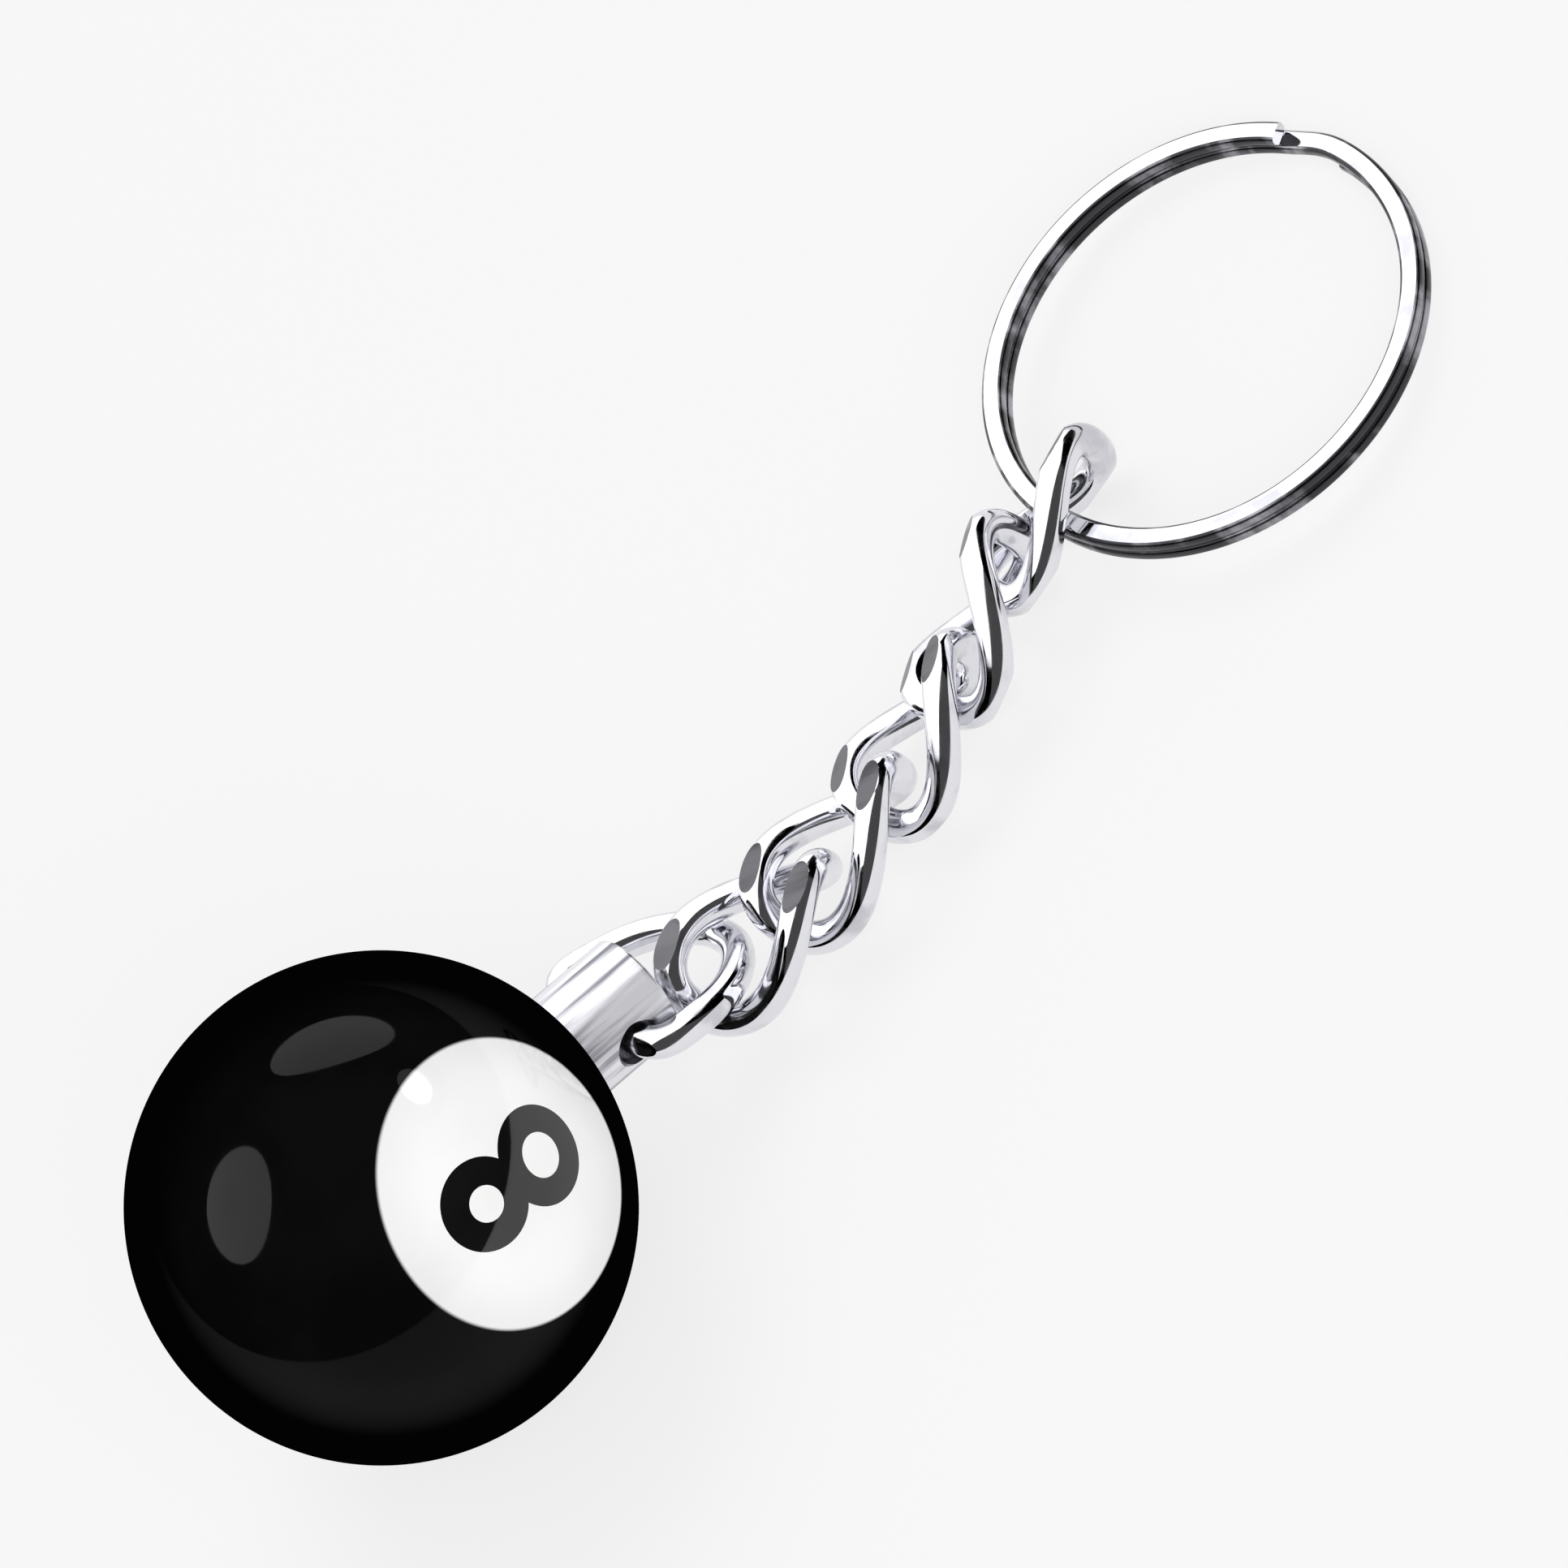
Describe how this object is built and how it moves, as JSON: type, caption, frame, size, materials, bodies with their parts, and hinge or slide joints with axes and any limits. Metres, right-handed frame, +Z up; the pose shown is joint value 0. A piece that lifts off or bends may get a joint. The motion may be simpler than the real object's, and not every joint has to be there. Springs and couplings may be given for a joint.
{
  "type": "pool ball key chain",
  "caption": "Key chain with a small glossy black numbered pool ball: inlaid white number discs, chromed ferrule, twisted curb chain and split key ring.",
  "frame": {"origin": "on the table it lies on, under the middle of the laid-out key chain's bounding box", "axes": "+X from the ball along the chain to the key ring, +Z up from the table, -Y to the side that the front number disc faces"},
  "size_m": [0.0821, 0.0291, 0.025],
  "materials": {
    "black_resin": "polished black cast resin",
    "white_resin": "polished white resin inlay",
    "digit_black": "polished black resin inlay",
    "ferrule_chrome": "chrome plate over lightly turned metal",
    "chain_chrome": "bright chrome plate, ground flats slightly worn",
    "ring_chrome": "bright nickel-chrome plate on spring wire",
    "stud_steel": "plain threaded steel"
  },
  "bodies": {
    "ball": {"ball": "black_resin", "number_disc_front": "white_resin", "digit_front": "digit_black", "number_disc_back": "white_resin", "digit_back": "digit_black", "ferrule": "ferrule_chrome", "ferrule_stud": "stud_steel"},
    "link_1": {"chain_link_1": "chain_chrome"},
    "link_2": {"chain_link_2": "chain_chrome"},
    "link_3": {"chain_link_3": "chain_chrome"},
    "link_4": {"chain_link_4": "chain_chrome"},
    "link_5": {"chain_link_5": "chain_chrome"},
    "link_6": {"chain_link_6": "chain_chrome"},
    "key_ring": {"key_ring": "ring_chrome"}
  },
  "joints": [
    {"name": "ferrule_hinge", "type": "hinge", "parent": "ball", "child": "link_1", "pos_m": [-0.01477, 0.00145, 0.00721], "axis": [0.0436, 0.999, 0], "range_deg": [-32, 13]},
    {"name": "link_1_hook", "type": "hinge", "parent": "link_1", "child": "link_2", "pos_m": [-0.00806, 0.00166, 0.00308], "axis": [0.5135, 0.8081, -0.2886], "range_deg": [-22, 30]},
    {"name": "link_2_hook", "type": "hinge", "parent": "link_2", "child": "link_3", "pos_m": [-0.00505, 0.00087, 0.00326], "axis": [0.4997, -0.7978, -0.3373], "range_deg": [-35, 37]},
    {"name": "link_3_hook", "type": "hinge", "parent": "link_3", "child": "link_4", "pos_m": [0.00085, -0.00015, 0.00204], "axis": [0.6309, -0.7757, 0.0193], "range_deg": [-37, 37]},
    {"name": "link_4_hook", "type": "hinge", "parent": "link_4", "child": "link_5", "pos_m": [0.00965, 0.00049, 0.00245], "axis": [-0.3442, -0.4315, 0.8338], "range_deg": [-37, 37]},
    {"name": "link_5_hook", "type": "hinge", "parent": "link_5", "child": "link_6", "pos_m": [0.01325, -0.0002, 0.00133], "axis": [0.8123, -0.5178, 0.2685], "range_deg": [-35, 21]},
    {"name": "key_ring_hook", "type": "hinge", "parent": "link_6", "child": "key_ring", "pos_m": [0.01696, -0.00335, 0.00512], "axis": [0.2378, 0.6286, -0.7405], "range_deg": [-18, 32]}
  ]
}
